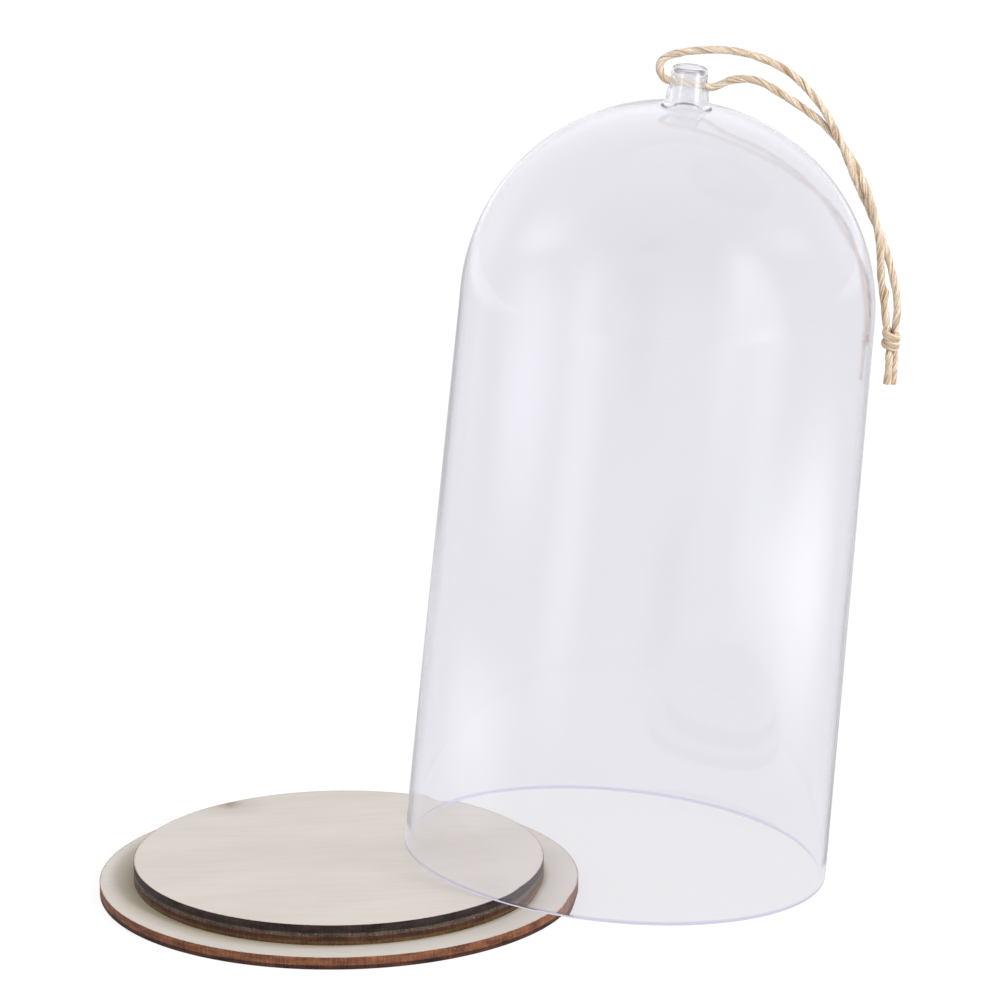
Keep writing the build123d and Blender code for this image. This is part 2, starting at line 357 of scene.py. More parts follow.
def face_veneer(name, looks, disc_radius, soot_and_shade_from=1.0):
    """Pale bare veneer with fine grain along X, and a thin ragged scorch line round its edge.

    The last argument is the distance from the axis where a band of laser soot and painted shadow of the plinth starts,
    wider at the left.
    """
    material, tree = new_material(name)
    place, _, radius, bearing = disc_coordinates(tree)
    grain = stretched_noise(tree, place, (70.0, 700.0, 700.0), detail=4.0, roughness=0.6)
    pores = stretched_noise(tree, place, (520.0, 3400.0, 3400.0), detail=2.0, roughness=0.7)
    cloud = stretched_noise(tree, place, (18.0, 42.0, 42.0), detail=2.0)
    wood = blend_colours(tree, 0.35, looks.veneer, ramp(tree, grain, [(0.30, looks.veneer_dark), (0.62, looks.veneer)]))
    flecked = blend_colours(tree, ramp(tree, pores, [(0.25, (0.30, 0.30, 0.30)), (0.42, (0.0, 0.0, 0.0))]),
                            wood, looks.veneer_dark)
    clouded = blend_colours(tree, 0.9, flecked,
                            ramp(tree, cloud, [(0.25, (0.93, 0.92, 0.90)), (0.7, (1.03, 1.03, 1.03))]), "MULTIPLY")
    ragged = stretched_noise(tree, place, (900.0, 900.0, 900.0), detail=3.0, roughness=0.7)
    inset = arithmetic(tree, "SUBTRACT", disc_radius, radius)
    burnt = arithmetic(tree, "SUBTRACT", arithmetic(tree, "MULTIPLY", ragged, 0.0008), inset)
    edge = ramp(tree, arithmetic(tree, "MULTIPLY", burnt, 2600.0), [(0.0, (0.0, 0.0, 0.0)), (1.0, (0.8, 0.8, 0.8))])
    scorched = blend_colours(tree, edge, clouded, looks.char_orange)
    to_mark = node(tree, "ShaderNodeVectorMath", {0: place, 1: SCORCH_PLACE}, operation="DISTANCE").outputs["Value"]
    wavering = arithmetic(tree, "ADD", to_mark, arithmetic(tree, "MULTIPLY", ragged, 0.003))
    mark = ramp(tree, arithmetic(tree, "DIVIDE", wavering, SCORCH_REACH),
                [(0.12, (0.7, 0.7, 0.7)), (0.45, (0.18, 0.18, 0.18)), (1.0, (0.0, 0.0, 0.0))])
    marked = blend_colours(tree, mark, scorched, (0.20, 0.12, 0.07))
    # Partly laser soot and partly painted shadow: the plinth's shadow on the ledge, wider at the left, away from the
    # light on the right.
    left = arithmetic(tree, "MAXIMUM", arithmetic(tree, "MULTIPLY", arithmetic(tree, "COSINE", bearing, 0.0), -1.0), 0.0)
    band = arithmetic(tree, "ADD", arithmetic(tree, "MULTIPLY", left, 0.0055), 0.0014)
    into_band = arithmetic(tree, "DIVIDE", arithmetic(tree, "SUBTRACT", radius, soot_and_shade_from), band)
    soot_and_shade = ramp(tree, into_band, [(0.0, (0.62, 0.57, 0.42)), (0.35, (0.78, 0.75, 0.64)), (1.0, (1.0, 1.0, 1.0))])
    before = node(tree, "ShaderNodeMath", {0: radius, 1: soot_and_shade_from}, operation="GREATER_THAN").outputs[0]
    marked = blend_colours(tree, before, marked, blend_colours(tree, 1.0, marked, soot_and_shade, "MULTIPLY"))
    bump = node(tree, "ShaderNodeBump", {"Height": arithmetic(tree, "ADD", grain, pores),
                                         "Strength": 0.25, "Distance": 0.00008})
    surface = node(tree, "ShaderNodeBsdfPrincipled", {
        "Base Color": marked, "Roughness": 0.62, "Specular IOR Level": 0.3, "Normal": bump.outputs["Normal"]})
    finish_tree(tree, surface)
    return material


def laser_edge(name, dark, light, speckle):
    """The burnt edge of one veneer, from its dark to its light tone, with upright laser marks."""
    material, tree = new_material(name)
    place, height, radius, bearing = disc_coordinates(tree)
    around = node(tree, "ShaderNodeCombineXYZ", {
        "X": arithmetic(tree, "MULTIPLY", bearing, 0.05), "Z": height}).outputs[0]
    strokes = stretched_noise(tree, place, (2600.0, 2600.0, 260.0), detail=3.0, roughness=0.6)
    blotches = stretched_noise(tree, place, (160.0, 160.0, 700.0), detail=3.0)
    specks = stretched_noise(tree, place, (2300.0, 2300.0, 2300.0), detail=2.0)
    tone = ramp(tree, blotches, [(0.32, dark), (0.70, light)])
    stroked = blend_colours(tree, 0.8, tone, ramp(tree, strokes, [(0.3, (0.55, 0.52, 0.5)), (0.65, (1.2, 1.2, 1.2))]),
                            "MULTIPLY")
    speckled = blend_colours(tree, ramp(tree, specks, [(0.60, (0.0, 0.0, 0.0)), (0.72, (speckle,) * 3)]),
                             stroked, (0.52, 0.40, 0.28))
    bump = node(tree, "ShaderNodeBump", {"Height": strokes, "Strength": 0.5, "Distance": 0.00012})
    surface = node(tree, "ShaderNodeBsdfPrincipled", {
        "Base Color": speckled, "Roughness": 0.6, "Specular IOR Level": 0.12, "Normal": bump.outputs["Normal"]})
    finish_tree(tree, surface)
    return material


# --- Mesh helpers ---------------------------------------------------------------------------------

def mesh_object(name, vertices, faces, materials):
    """A smooth-shaded mesh object in the row frame."""
    mesh = bpy.data.meshes.new(name)
    mesh.from_pydata([tuple(v) for v in vertices], [], faces)
    mesh.polygons.foreach_set("use_smooth", [True] * len(mesh.polygons))
    for material in materials:
        mesh.materials.append(material)
    mesh.update()
    piece = bpy.data.objects.new(name, mesh)
    bpy.context.scene.collection.objects.link(piece)
    return piece


def place_piece(piece, body, slot, *nodes):
    """Hang a piece on its body and let it stand for its CAD nodes. Its slot is not used."""
    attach(piece, body)
    if nodes:
        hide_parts(*nodes)


def arc(centre, radius, start, end, steps):
    """Points along a circle's arc in a half section, from one angle to another."""
    angles = (math.radians(start + (end - start) * step / steps) for step in range(steps + 1))
    return [(centre[0] + radius * math.cos(a), centre[1] + radius * math.sin(a)) for a in angles]


def straight(start, end, steps):
    """Points along a straight line of a half section, its ends left out."""
    return [(start[0] + (end[0] - start[0]) * step / steps, start[1] + (end[1] - start[1]) * step / steps)
            for step in range(1, steps)]


def lathe(profile, turns):
    """Vertices and faces of a closed half section turned about the Z axis. It starts and ends on it."""
    vertices = [(0.0, 0.0, profile[0][1])]
    for radius, height in profile[1:-1]:
        for turn in range(turns):
            angle = 2 * math.pi * turn / turns
            vertices.append((radius * math.cos(angle), radius * math.sin(angle), height))
    vertices.append((0.0, 0.0, profile[-1][1]))
    rings = len(profile) - 2
    last = len(vertices) - 1
    faces = []
    for turn in range(turns):
        after = (turn + 1) % turns
        faces.append((0, 1 + after, 1 + turn))
        for ring in range(rings - 1):
            low = 1 + ring * turns
            high = low + turns
            faces.append((low + turn, low + after, high + after, high + turn))
        end = 1 + (rings - 1) * turns
        faces.append((end + turn, end + after, last))
    return vertices, faces


def make_normals_outward(piece):
    """Point every face of a closed mesh outwards."""
    mesh = bmesh.new()
    mesh.from_mesh(piece.data)
    bmesh.ops.recalc_face_normals(mesh, faces=mesh.faces)
    mesh.to_mesh(piece.data)
    mesh.free()


# --- Places worked out from the frame -------------------------------------------------------------

def hole_matrix():
    """The hole's frame: along the hole to the right, across it to the back, up the dome's axis."""
    along = Vector(SWING["axis"]).normalized()
    up = Vector((-along.z, 0.0, along.x)).normalized()
    across = up.cross(along)
    matrix = Matrix((along, across, up)).transposed().to_4x4()
    matrix.translation = Vector(SWING["pos_m"])
    return matrix


def dome_matrix(sizes):
    """The dome's frame: its origin is the rim's centre, and its Z axis is the dome's axis."""
    along = Vector(SWING["axis"]).normalized()
    up = Vector((-along.z, 0.0, along.x)).normalized()
    back = Vector((0.0, 1.0, 0.0))
    matrix = Matrix((back.cross(up), back, up)).transposed().to_4x4()
    crown = sizes.shoulder_height + sizes.shoulder_radius
    matrix.translation = Vector(SWING["pos_m"]) - up * (crown + sizes.hole_height)
    return matrix


# --- Dome -----------------------------------------------------------------------------------------

RIM_ROUND = 0.00055
BOSS_FOOT_ROUND = 0.0012
BOSS_TOP_ROUND = 0.0009
CORE_MOUTH_ROUND = 0.0020
CORE_ROOF_ROUND = 0.0008
DOME_TURNS = 320


def foot_round(sizes, cap_radius, foot, top, reach):
    """The round between the cap and a steep side line that starts at its foot.

    Gives the round's centre, the side's outward normal, and the angles of both, in degrees.
    """
    side = (Vector(top) - Vector(foot)).normalized()
    out = Vector((side.y, -side.x))
    tilt = math.atan2(out.y, out.x)
    cap_centre = Vector((0.0, sizes.shoulder_height))
    cosine = (Vector(foot).dot(out) + reach - cap_centre.dot(out)) / (cap_radius + reach)
    start = tilt + math.acos(cosine)
    centre = cap_centre + (cap_radius + reach) * Vector((math.cos(start), math.sin(start)))
    return centre, out, math.degrees(start), math.degrees(tilt)


def on_cap(sizes, cap_radius, at_radius):
    """The height of a cap's surface at a distance from the axis."""
    return sizes.shoulder_height + math.sqrt(cap_radius**2 - at_radius**2)


def boss_outline(sizes):
    """The boss's outside from its foot's round to the axis, and the cap's angle where it starts."""
    cap = sizes.shoulder_radius
    top = sizes.shoulder_height + cap + sizes.boss_height
    foot = (sizes.boss_radius, on_cap(sizes, cap, sizes.boss_radius))
    corner = (sizes.boss_top_radius, top)
    foot_centre, out, start, tilt = foot_round(sizes, cap, foot, corner, BOSS_FOOT_ROUND)
    high = top - BOSS_TOP_ROUND
    round_centre = Vector(((Vector(corner).dot(out) - BOSS_TOP_ROUND - high * out.y) / out.x, high))
    outline = arc(foot_centre, BOSS_FOOT_ROUND, start + 180, tilt + 180, 14)
    outline += straight(outline[-1], round_centre + BOSS_TOP_ROUND * out, 24)
    outline += arc(round_centre, BOSS_TOP_ROUND, tilt, 90, 14)
    outline += straight(outline[-1], (0.0, top), 6)
    outline.append((0.0, top))
    return outline, start


def core_outline(sizes):
    """The boss's hollow from the axis down to the cap's inside, and the cap's angle there."""
    inside = sizes.shoulder_radius - sizes.cap_wall
    roof = sizes.shoulder_height + sizes.shoulder_radius + sizes.boss_height - sizes.boss_roof
    foot = (sizes.core_radius, on_cap(sizes, inside, sizes.core_radius))
    corner = (sizes.core_top_radius, roof)
    mouth_centre, out, start, tilt = foot_round(sizes, inside, foot, corner, CORE_MOUTH_ROUND)
    low = roof - CORE_ROOF_ROUND
    round_centre = Vector(((Vector(corner).dot(out) - CORE_ROOF_ROUND - low * out.y) / out.x, low))
    outline = [(0.0, roof)]
    outline += straight((0.0, roof), (round_centre.x, roof), 6)
    outline += arc(round_centre, CORE_ROOF_ROUND, 90, tilt, 10)
    outline += straight(outline[-1], mouth_centre - CORE_MOUTH_ROUND * out, 24)
    outline += arc(mouth_centre, CORE_MOUTH_ROUND, tilt + 180, start + 180, 14)
    return outline, start


def wall_line(at_shoulder, painted_rim_line, sizes):
    """A side of the tapered wall, from just under the shoulder to just above the rim's round.

    Its slope dies away at the shoulder.
    """
    points = []
    for step in range(1, 48):
        height = sizes.shoulder_height + (RIM_ROUND - sizes.shoulder_height) * (step / 48) ** 1.6
        below = sizes.shoulder_height - height
        spread = (painted_rim_line - at_shoulder) * below / sizes.shoulder_height
        points.append((at_shoulder + spread * (1.0 - math.exp(-below / 0.006)), height))
    return points


def dome_profile(sizes):
    """The dome's whole half section, from the axis at the boss's top, down outside and up inside."""
    cap_centre = (0.0, sizes.shoulder_height)
    cap_inside = sizes.shoulder_radius - sizes.cap_wall
    rim_inside = sizes.rim_radius - sizes.wall
    boss, boss_start = boss_outline(sizes)
    core, core_start = core_outline(sizes)
    profile = list(reversed(boss))
    profile += arc(cap_centre, sizes.shoulder_radius, boss_start, 0, 72)[1:]
    profile += wall_line(sizes.shoulder_radius, sizes.rim_radius, sizes)
    profile += arc((sizes.rim_radius - RIM_ROUND, RIM_ROUND), RIM_ROUND, 0, -90, 6)
    profile += arc((rim_inside + RIM_ROUND, RIM_ROUND), RIM_ROUND, -90, -180, 6)
    profile += reversed(wall_line(cap_inside, rim_inside, sizes))
    profile += arc(cap_centre, cap_inside, 0, core_start, 72)[:-1]
    profile += reversed(core)
    return profile


def cut_hole(piece, matrix, radius, length):
    """Cut a round hole along the X axis of a frame through a piece."""
    turns = 48
    ring = [(0.0, radius * math.cos(2 * math.pi * t / turns), radius * math.sin(2 * math.pi * t / turns))
            for t in range(turns)]
    vertices = [matrix @ Vector((side * length / 2, y, z)) for side in (-1, 1) for _, y, z in ring]
    faces = [tuple(range(turns)), tuple(reversed(range(turns, 2 * turns)))]
    faces += [(t, t + turns, (t + 1) % turns + turns, (t + 1) % turns) for t in range(turns)]
    cutter = mesh_object("hole_cutter", vertices, faces, [])
    make_normals_outward(cutter)
    cut = piece.modifiers.new("hole", "BOOLEAN")
    cut.operation = "DIFFERENCE"
    cut.solver = "EXACT"
    cut.object = cutter
    graph = bpy.context.evaluated_depsgraph_get()
    drilled = bpy.data.meshes.new_from_object(piece.evaluated_get(graph))
    piece.modifiers.clear()
    piece.data = drilled
    bpy.data.objects.remove(cutter)


def make_dome(sizes, looks):
    """The moulded dome with its boss and hole, as one closed wall."""
    vertices, faces = lathe(dome_profile(sizes), DOME_TURNS)
    matrix = dome_matrix(sizes)
    up = matrix.to_3x3() @ Vector((0.0, 0.0, 1.0))
    plastic = clear_plastic(looks, Vector(SWING["pos_m"]), matrix.translation, up)
    piece = mesh_object("clear_dome", [matrix @ Vector(v) for v in vertices], faces, [plastic])
    make_normals_outward(piece)
    cut_hole(piece, hole_matrix(), sizes.hole_diameter / 2, 4 * sizes.boss_radius)
    piece.data.polygons.foreach_set("use_smooth", [True] * len(piece.data.polygons))
    piece.data.set_sharp_from_angle(angle=math.radians(38))
    place_piece(piece, "dome", "clear_plastic", "dome")
    return piece


# --- Twine ----------------------------------------------------------------------------------------

RING_STEP = 0.00014
TWINE_SIDES = 44
KNOT_SQUEEZE = 0.66
# No fibre stands off the twine this close to the middle of the hole, where it would rub on the boss.
BARE_REACH = 0.0135


def spline_points(name, control):
    """Points along a smooth NURBS spline through a route's control points, as the curve gives them."""
    curve = bpy.data.curves.new(name, "CURVE")
    curve.dimensions = "3D"
    curve.resolution_u = 40
    spline = curve.splines.new("NURBS")
    spline.points.add(len(control) - 1)
    for point, place in zip(spline.points, control):
        point.co = (*place, 1.0)
    spline.order_u = 3
    spline.use_endpoint_u = True
    holder = bpy.data.objects.new(name, curve)
    bpy.context.scene.collection.objects.link(holder)
    bpy.context.view_layer.update()
    line = bpy.data.meshes.new_from_object(holder)
    points = np.array([vertex.co for vertex in line.vertices])
    bpy.data.meshes.remove(line)
    bpy.data.objects.remove(holder)
    bpy.data.curves.remove(curve)
    return points


def evenly(points, step):
    """The same line with points a step apart."""
    gaps = np.linalg.norm(np.diff(points, axis=0), axis=1)
    along = np.concatenate(([0.0], np.cumsum(gaps)))
    count = max(int(round(along[-1] / step)), 2)
    places = np.linspace(0.0, along[-1], count + 1)
    return np.stack([np.interp(places, along, points[:, axis]) for axis in range(3)], axis=1)


def carried_frames(points):
    """Tangents, and two crossing directions carried along a line without twist."""
    tangents = np.gradient(points, axis=0)
    tangents /= np.linalg.norm(tangents, axis=1)[:, None]
    first = np.cross(tangents[0], (0.0, 1.0, 0.0))
    sides = [first / np.linalg.norm(first)]
    for tangent in tangents[1:]:
        side = sides[-1] - tangent * sides[-1].dot(tangent)
        sides.append(side / np.linalg.norm(side))
    sides = np.array(sides)
    return tangents, sides, np.cross(tangents, sides)


def twine_surface(points, radius, lay, width=None, slub=None, start=0.0):
    """Rings of a two-ply jute twine along a line: each ring's points, and each point's fibre place.

    width scales the twine at each point of the line. slub is (index, side) of a small lump.
    """
    _, sides, others = carried_frames(points)
    count = len(points)
    along = start + np.arange(count) * np.linalg.norm(points[1] - points[0])
    angles = np.arange(TWINE_SIDES) * 2 * math.pi / TWINE_SIDES
    width = np.ones(count) if width is None else width
    turn = 2 * math.pi * along / lay
    rings = np.empty((count, TWINE_SIDES, 3))
    fibres = np.empty((count, TWINE_SIDES, 4))
    for i in range(count):
        ply = np.abs(np.cos(angles - turn[i]))
        lean = angles - 0.8 * turn[i]
        thick = 1.0 + 0.09 * noise.noise(Vector((along[i] / 0.0045, 3.1, 7.7)))
        rough = np.array([noise.noise(Vector((1.9 * math.cos(a), 1.9 * math.sin(a), along[i] / 0.0016))) for a in lean])
        ridges = 0.028 * np.sin(9 * lean + 2.2 * rough) + 0.018 * np.sin(17 * lean - 3.0 * rough)
        reach = radius * width[i] * thick * (0.89 + 0.14 * ply**0.75 + ridges + 0.055 * rough)
        if slub is not None:
            away = (along[i] - along[slub[0]]) / 0.0012
            facing = np.clip(sides[i] @ slub[1] * np.cos(angles) + others[i] @ slub[1] * np.sin(angles), 0.0, None)
            reach = reach + radius * 0.75 * math.exp(-away**2) * facing**2
        rings[i] = points[i] + reach[:, None] * (np.cos(angles)[:, None] * sides[i] + np.sin(angles)[:, None] * others[i])
        # Painted shade: how deep a point lies in the crease between the two plies, which the material darkens.
        crease_shade = np.clip(0.50 - 1.8 * ply + 0.5 * rough, 0.0, 0.6)
        fibres[i] = np.stack([np.cos(lean), np.sin(lean), np.full(TWINE_SIDES, along[i]), crease_shade], axis=1)
    return rings, fibres


def tube_faces(count, sides, base=0):
    """Faces of a tube of rings, closed with a cap at each end."""
    faces = []
    for i in range(count - 1):
        low = base + i * sides
        for j in range(sides):
            after = (j + 1) % sides
            faces.append((low + j, low + after, low + sides + after, low + sides + j))
    faces.append(tuple(base + j for j in reversed(range(sides))))
    faces.append(tuple(base + (count - 1) * sides + j for j in range(sides)))
    return faces


def hair(start, heading, away, length, thickness, along):
    """One loose fibre: a thin three-sided tube that tapers and curls off the twine."""
    steps = 6
    vertices = []
    fibres = []
    across = heading.cross(away).normalized()
    for step in range(steps):
        share = step / (steps - 1)
        centre = start + heading * length * share + away * length * 0.55 * share**1.6
        radius = thickness * (1.0 - 0.75 * share)
        for corner in range(3):
            angle = 2 * math.pi * corner / 3
            vertices.append(centre + radius * (math.cos(angle) * away + math.sin(angle) * across))
            fibres.append((math.cos(angle), math.sin(angle), along + length * share, 0.0))
    return vertices, fibres, tube_faces(steps, 3)


def loose_hairs(points, radius, number, seed, bare_place=None):
    """Vertices, fibre places and faces of the loose fibres along a line, with none close to a place."""
    draw = random.Random(seed)
    tangents, sides, others = carried_frames(points)
    vertices, fibres, faces = [], [], []
    for _ in range(number):
        i = draw.randrange(len(points))
        angle = draw.uniform(0, 2 * math.pi)
        out = Vector(math.cos(angle) * sides[i] + math.sin(angle) * others[i])
        heading = Vector(tangents[i]) * draw.choice((-1, 1))
        heading = (heading + 0.25 * Vector([draw.gauss(0, 1) for _ in range(3)])).normalized()
        start = Vector(points[i]) + out * radius * 0.8
        away = (out + 0.2 * Vector([draw.gauss(0, 1) for _ in range(3)])).normalized()
        length = draw.uniform(0.0006, 0.0019)
        made, places, quads = hair(start, heading, away, length, draw.uniform(0.000018, 0.000035), i * RING_STEP)
        if bare_place is not None and (start - bare_place).length < BARE_REACH:
            continue
        if max(place.z for place in made) > CAD_BOX[1].z or max(place.x for place in made) > CAD_BOX[1].x:
            continue
        faces += [tuple(len(vertices) + k for k in quad) for quad in quads]
        vertices += made
        fibres += places
    return vertices, fibres, faces


def twine_piece(name, surfaces, hairs, material):
    """One mesh of twine surfaces and loose fibres, with each point's fibre place as an attribute."""
    vertices, fibres, faces = [], [], []
    for rings, places in surfaces:
        faces += tube_faces(len(rings), TWINE_SIDES, len(vertices))
        vertices += [tuple(v) for v in rings.reshape(-1, 3)]
        fibres += [tuple(v) for v in places.reshape(-1, 4)]
    faces += [tuple(len(vertices) + k for k in face) for face in hairs[2]]
    vertices += [tuple(v) for v in hairs[0]]
    fibres += [tuple(v) for v in hairs[1]]
    piece = mesh_object(name, vertices, faces, [material])
    make_normals_outward(piece)
    fibres = np.array(fibres, np.float32)
    attribute = piece.data.attributes.new("fibre", "FLOAT_VECTOR", "POINT")
    attribute.data.foreach_set("vector", np.ascontiguousarray(fibres[:, :3]).ravel())
    # The painted shade of the ply crease goes to the material as a second attribute.
    crease_shades = piece.data.attributes.new("crease_shade", "FLOAT", "POINT")
    crease_shades.data.foreach_set("value", np.ascontiguousarray(fibres[:, 3]))
    piece.data.set_sharp_from_angle(angle=math.radians(60))
    return piece


def knot_turn(matrix, level, start, reach):
    """The line of one strand of the knot, once and a quarter round the others and tucked in."""
    points = []
    steps = 140
    for step in range(steps + 1):
        share = step / steps
        angle = start + 2 * math.pi * 1.3 * share
        tuck = min(min(share, 1.0 - share) / 0.16, 1.0)
        tuck = tuck * tuck * (3 - 2 * tuck)
        bulge = 1.0 + 0.16 * max(0.0, -math.cos(angle))
        away = reach * (0.35 + 0.65 * tuck) * bulge
        height = level - 0.0007 * (share - 0.5) - 0.0003 * math.cos(angle) + 0.0002 * math.sin(angle)
        points.append(matrix @ Vector((away * math.cos(angle), away * math.sin(angle), height)))
    return np.array(points)


def flattened(surface, line, up, tall, thin):
    """A twine surface pressed flat: taller along up, and thinner across it."""
    rings, fibres = surface
    offsets = rings - line[:, None, :]
    rise = (offsets @ up)[:, :, None] * up
    return line[:, None, :] + tall * rise + thin * (offsets - rise), fibres


def make_twine(sizes, looks):
    """Both legs of the twine from the middle of the hole to their tails, and the knot."""
    matrix = hole_matrix()
    long_route = [matrix @ Vector(p) for p in LONG_LEG + LONG_END]
    short_route = [matrix @ Vector(p) for p in SHORT_LEG + SHORT_END]
    long_line = evenly(spline_points("long_route", long_route), RING_STEP)
    short_line = evenly(spline_points("short_route", short_route), RING_STEP)
    whole = np.concatenate((long_line[::-1], short_line[1:]))
    middle = len(long_line) - 1
    radius = sizes.twine / 2

    low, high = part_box("twine_knot")
    knot_centre = (low + high) / 2
    width = np.array([knot_width(Vector(p), knot_centre) for p in whole])
    lump_place = matrix @ Vector((0.0503, 0.0, -0.0455))
    lump = middle + int(np.argmin(np.linalg.norm(short_line - np.array(lump_place), axis=1)))
    right = np.array(matrix.to_3x3() @ Vector((1.0, 0.0, 0.0)))
    rings, fibres = twine_surface(whole, radius, sizes.twine_lay, width, (lump, right))

    material = jute_fibre(looks)
    ranges = {"long": slice(0, middle + 1), "short": slice(middle, len(whole))}
    made = {}
    for seed, (side, part) in enumerate(ranges.items()):
        hairs = loose_hairs(whole[part], radius, sizes.loose_fibres // 2, seed + 1, matrix.translation)
        made[side] = twine_piece(f"twine_{side}_strand", [(rings[part], fibres[part])], hairs, material)

    turned = matrix.to_3x3().to_4x4()
    turned.translation = knot_centre
    turns = []
    up = np.array(turned.to_3x3() @ Vector((0.0, 0.0, 1.0)))
    for level, start in ((0.00105, 1.75), (-0.00105, 2.3)):
        line = evenly(knot_turn(turned, level, start, 0.00150), RING_STEP)
        band = twine_surface(line, radius * 0.95, sizes.twine_lay * 2.4, start=0.4 + level * 50)
        turns.append(flattened(band, line, up, 1.22, 0.74))
    no_hairs = loose_hairs(whole[:80], radius, 0, 5)
    made["knot"] = twine_piece("twine_knot_turns", turns, no_hairs, material)

    place_piece(made["long"], "twine_loop", "jute", "twine_long_leg", "twine_long_tail")
    place_piece(made["short"], "twine_loop", "jute", "twine_short_leg", "twine_short_tail")
    place_piece(made["knot"], "twine_loop", "jute", "twine_knot")
    for side, line in (("long", long_line), ("short", short_line)):
        length = float(np.linalg.norm(np.diff(line, axis=0), axis=1).sum())
        print(side, "strand", round(length, 5))


def knot_width(point, knot_centre):
    """How far the knot squeezes a strand that runs through it, as a share of its width."""
    away = (point - knot_centre).length / 0.0030
    return 1.0 - (1.0 - KNOT_SQUEEZE) * math.exp(-away**4)


# --- Plywood base ---------------------------------------------------------------------------------

DISC_TURNS = 720


def ply_disc(name, radius, low, high, seed, face_material, edge_material):
    """One veneer: a disc with a wavering laser-cut edge and slightly softened arrises."""
    rings = ((0.0, low), (radius * 0.5, low), (radius - 0.00006, low), (radius, low + 0.00006), (radius, (low + high) / 2),
             (radius, high - 0.00006), (radius - 0.00006, high), (radius * 0.5, high), (0.0, high))
    vertices, faces = lathe(rings, DISC_TURNS)
    piece = mesh_object(name, vertices, faces, [face_material, edge_material])
    for vertex in piece.data.vertices:
        place = vertex.co
        from_axis = math.hypot(place.x, place.y)
        if from_axis > radius * 0.9:
            waver = noise.noise(Vector((place.x * 160, place.y * 160, seed)))
            nick = noise.noise(Vector((place.x * 1100, place.y * 1100, seed + place.z * 900)))
            share = 1.0 - (0.000045 * abs(waver) + 0.00003 * abs(nick)) / from_axis
            place.x *= share
            place.y *= share
    make_normals_outward(piece)
    piece.data.materials.update()
    for face in piece.data.polygons:
        face.material_index = 0 if abs(face.normal.z) > 0.9 else 1
    piece.data.set_sharp_from_angle(angle=math.radians(30))
    return piece


def make_base(looks):
    """The eight veneers of the two discs, each on its own CAD node's place."""
    tones = {
        "base_lower_face_ply": (looks.char_black, looks.char_red, 0.1),
        "base_core_ply": (looks.char_red, looks.char_orange, 0.15),
        "base_upper_face_ply": (looks.char_red, looks.char_orange, 0.35),
        "plinth_lower_face_ply": ((0.075, 0.040, 0.018), (0.17, 0.10, 0.045), 0.1),
        "plinth_lower_cross_ply": ((0.045, 0.018, 0.012), looks.char_red, 0.1),
        "plinth_core_ply": ((0.060, 0.042, 0.033), (0.15, 0.11, 0.08), 0.55),
        "plinth_upper_cross_ply": (looks.char_black, (0.045, 0.036, 0.030), 0.05),
        "plinth_upper_face_ply": (looks.char_black, (0.065, 0.042, 0.045), 0.02),
    }
    plinth_low, plinth_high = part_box("plinth_lower_face_ply")
    # Laser soot and painted shadow of the plinth on the base's upper face, next to the plinth.
    soot_and_shade_from = {"base_upper_face_ply": (plinth_high.x - plinth_low.x) / 2}
    for seed, (ply, (dark, light, speckle)) in enumerate(tones.items()):
        low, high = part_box(ply)
        radius = (high.x - low.x) / 2
        name = ply.replace("_ply", "_veneer")
        piece = ply_disc(name, radius, low.z, high.z, seed * 10.0,
                         face_veneer(f"{name}_face", looks, radius, soot_and_shade_from.get(ply, 1.0)),
                         laser_edge(f"{name}_edge", dark, light, speckle))
        slot = "plywood_face" if "face" in ply else "plywood_core"
        piece.visible_glossy = False
        place_piece(piece, "base", slot, ply)


# --- Camera, floor and light ----------------------------------------------------------------------

def make_camera(stage):
    """The camera, by its bearing, height and distance from the point that it aims at."""
    data = bpy.data.cameras.new("camera")
    data.lens = stage.lens
    data.sensor_width = 36.0
    data.clip_end = 50.0
    camera = bpy.data.objects.new("camera", data)
    turn = (Matrix.Rotation(stage.azimuth, 4, "Z") @ Matrix.Rotation(math.pi / 2 - stage.elevation, 4, "X")
            @ Matrix.Rotation(stage.roll, 4, "Z"))
    back = turn.to_3x3() @ Vector((0.0, 0.0, 1.0))
    camera.matrix_world = Matrix.Translation(Vector(stage.aim) + back * stage.distance) @ turn
    bpy.context.scene.collection.objects.link(camera)
    bpy.context.scene.camera = camera


def softbox(name, bearing, distance, height, width, tall, power, aim):
    """A rectangular soft light on a bearing, to the right of the front, aimed at a height on the object."""
    data = bpy.data.lights.new(name, "AREA")
    data.shape = "RECTANGLE"
    data.size = width
    data.size_y = tall
    data.energy = power
    light = bpy.data.objects.new(name, data)
    angle = math.radians(bearing)
    light.location = (distance * math.sin(angle), -distance * math.cos(angle), height)
    facing = Vector((0.04, 0.0, aim)) - light.location
    light.rotation_euler = facing.to_track_quat("-Z", "Y").to_euler()
    light.visible_camera = False
    bpy.context.scene.collection.objects.link(light)
    return light


# The pale backdrop is behind the object; the camera's side of the room is dimmer.
BACKDROP = (0.12, 0.93, 0.35)


